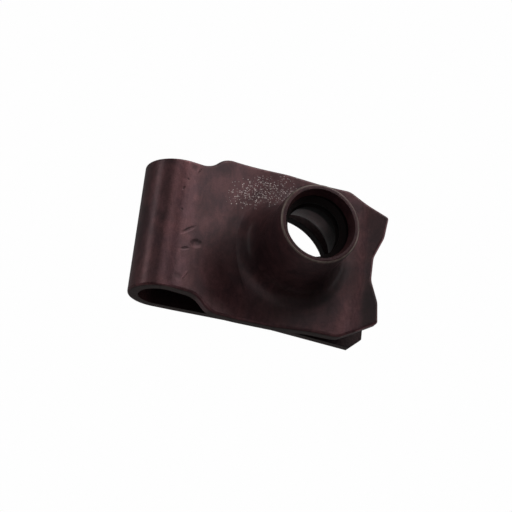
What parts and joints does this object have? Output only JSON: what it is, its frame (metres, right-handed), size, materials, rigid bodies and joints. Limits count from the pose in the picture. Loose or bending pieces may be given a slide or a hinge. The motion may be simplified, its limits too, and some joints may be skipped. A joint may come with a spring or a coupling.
{
  "type": "u clip speed nut",
  "caption": "Spring steel strip folded into a U clip, with a threaded barrel drawn up from the upper leg and a clearance hole in the lower leg.",
  "frame": {"origin": "on the barrel's axis, at the underside of the lower leg", "axes": "+Z along the barrel's axis, out of its mouth; +X along the legs towards the open end; +Y across the strip"},
  "size_m": [0.0239, 0.0154, 0.0129],
  "materials": {
    "spring_steel": "dark brown phosphate and oil on spring steel, satin"
  },
  "bodies": {
    "root": {"spring_clip": "spring_steel"}
  },
  "joints": []
}
